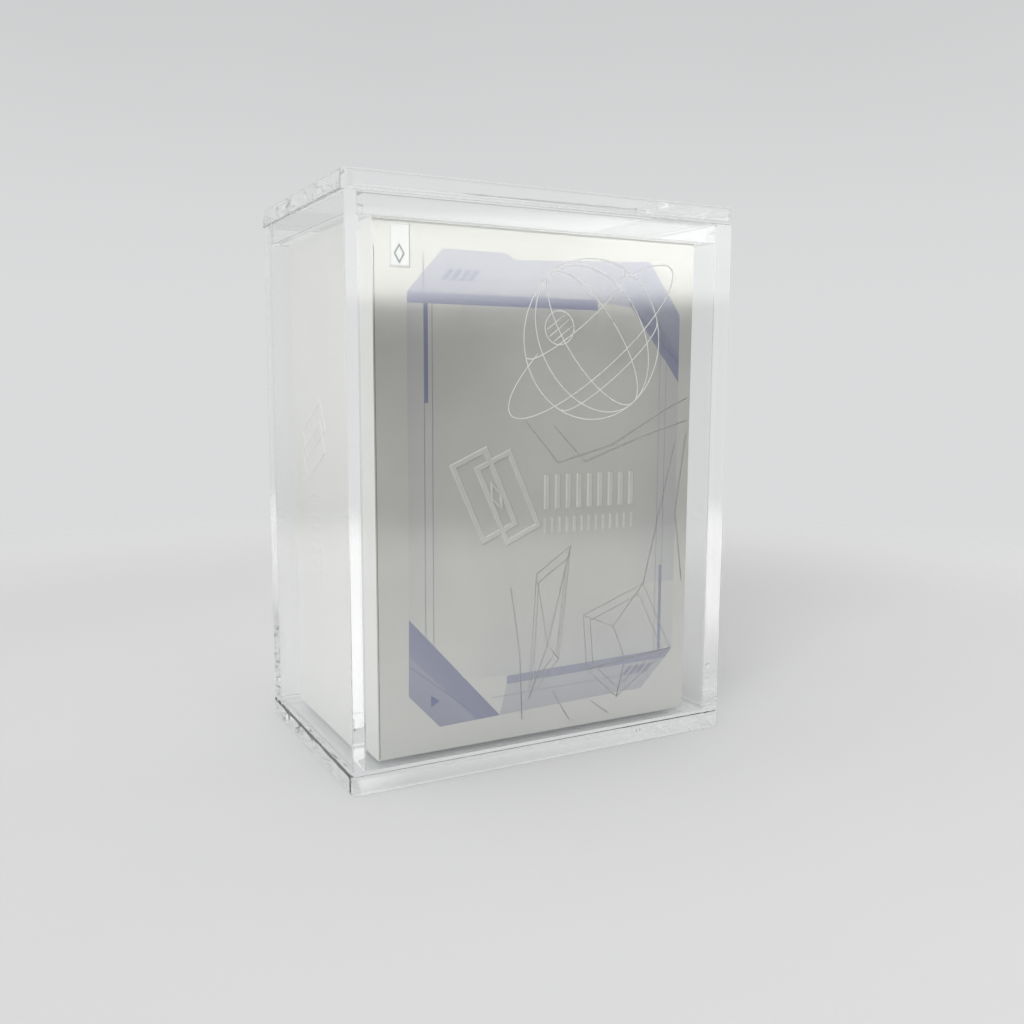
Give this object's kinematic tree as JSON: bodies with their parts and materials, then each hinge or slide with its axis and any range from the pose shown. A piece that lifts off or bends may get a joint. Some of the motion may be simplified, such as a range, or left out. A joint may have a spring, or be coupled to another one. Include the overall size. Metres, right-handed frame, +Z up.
{
  "type": "card deck box",
  "caption": "Clear acrylic display case with a lift-off lid, holding an upright printed carton of card decks that lifts out and opens.",
  "frame": {"origin": "centre of the footprint, on the surface the base plate stands on", "axes": "+Z up, -Y towards the printed front, +X to the right of someone facing the front"},
  "size_m": [0.16, 0.104, 0.21],
  "materials": {
    "clear_acrylic": "polished clear acrylic",
    "printed_board": "satin coated off-white board with a pale violet print",
    "tray_board": "uncoated dyed grey board",
    "divider_board": "uncoated greyboard",
    "sticker_paper": "glossy white label film",
    "card_stock": "coated card stock, cut edges",
    "foam": "matte closed-cell foam"
  },
  "bodies": {
    "case": {"base_plate": "clear_acrylic", "front_wall": "clear_acrylic", "back_wall": "clear_acrylic", "left_wall": "clear_acrylic", "right_wall": "clear_acrylic"},
    "lid": {"lid_plate": "clear_acrylic", "lid_rim_front": "clear_acrylic", "lid_rim_back": "clear_acrylic", "lid_rim_left": "clear_acrylic", "lid_rim_right": "clear_acrylic"},
    "tray": {"carton_tray": "tray_board", "lower_long_divider": "divider_board", "lower_cross_divider": "divider_board"},
    "cover": {"carton_cover": "printed_board", "blank_sticker": "sticker_paper"},
    "shelf": {"tier_shelf": "divider_board", "upper_long_divider": "divider_board", "upper_cross_divider": "divider_board"},
    "spacer": {"top_spacer": "foam"},
    "lower_deck_front_left": {"lower_deck_front_left": "card_stock"},
    "lower_deck_front_right": {"lower_deck_front_right": "card_stock"},
    "lower_deck_back_left": {"lower_deck_back_left": "card_stock"},
    "lower_deck_back_right": {"lower_deck_back_right": "card_stock"},
    "upper_deck_front_left": {"upper_deck_front_left": "card_stock"},
    "upper_deck_front_right": {"upper_deck_front_right": "card_stock"},
    "upper_deck_back_left": {"upper_deck_back_left": "card_stock"},
    "upper_deck_back_right": {"upper_deck_back_right": "card_stock"}
  },
  "joints": [
    {"name": "tray_lift", "type": "slide", "parent": "case", "child": "tray", "axis": [0, 0, 1], "range_m": [0, 0.2]},
    {"name": "lower_deck_front_left_lift", "type": "slide", "parent": "tray", "child": "lower_deck_front_left", "axis": [0, 0, 1], "range_m": [0, 0.19]},
    {"name": "lower_deck_front_right_lift", "type": "slide", "parent": "tray", "child": "lower_deck_front_right", "axis": [0, 0, 1], "range_m": [0, 0.19]},
    {"name": "lower_deck_back_left_lift", "type": "slide", "parent": "tray", "child": "lower_deck_back_left", "axis": [0, 0, 1], "range_m": [0, 0.19]},
    {"name": "lower_deck_back_right_lift", "type": "slide", "parent": "tray", "child": "lower_deck_back_right", "axis": [0, 0, 1], "range_m": [0, 0.19]},
    {"name": "shelf_lift", "type": "slide", "parent": "lower_deck_front_left", "child": "shelf", "axis": [0, 0, 1], "range_m": [0, 0.02]},
    {"name": "upper_deck_front_left_lift", "type": "slide", "parent": "shelf", "child": "upper_deck_front_left", "axis": [0, 0, 1], "range_m": [0, 0.1]},
    {"name": "upper_deck_front_right_lift", "type": "slide", "parent": "shelf", "child": "upper_deck_front_right", "axis": [0, 0, 1], "range_m": [0, 0.1]},
    {"name": "upper_deck_back_left_lift", "type": "slide", "parent": "shelf", "child": "upper_deck_back_left", "axis": [0, 0, 1], "range_m": [0, 0.1]},
    {"name": "upper_deck_back_right_lift", "type": "slide", "parent": "shelf", "child": "upper_deck_back_right", "axis": [0, 0, 1], "range_m": [0, 0.1]},
    {"name": "spacer_lift", "type": "slide", "parent": "upper_deck_front_left", "child": "spacer", "axis": [0, 0, 1], "range_m": [0, 0.02]},
    {"name": "cover_lift", "type": "slide", "parent": "spacer", "child": "cover", "axis": [0, 0, 1], "range_m": [0, 0.2]},
    {"name": "lid_lift", "type": "slide", "parent": "cover", "child": "lid", "axis": [0, 0, 1], "range_m": [0, 0.1]}
  ],
  "couplings": [
    {"joint": "lower_deck_front_right_lift", "follows": "lower_deck_front_left_lift", "ratio": 1},
    {"joint": "lower_deck_back_left_lift", "follows": "lower_deck_front_left_lift", "ratio": 1},
    {"joint": "lower_deck_back_right_lift", "follows": "lower_deck_front_left_lift", "ratio": 1},
    {"joint": "upper_deck_front_right_lift", "follows": "upper_deck_front_left_lift", "ratio": 1},
    {"joint": "upper_deck_back_left_lift", "follows": "upper_deck_front_left_lift", "ratio": 1},
    {"joint": "upper_deck_back_right_lift", "follows": "upper_deck_front_left_lift", "ratio": 1}
  ]
}
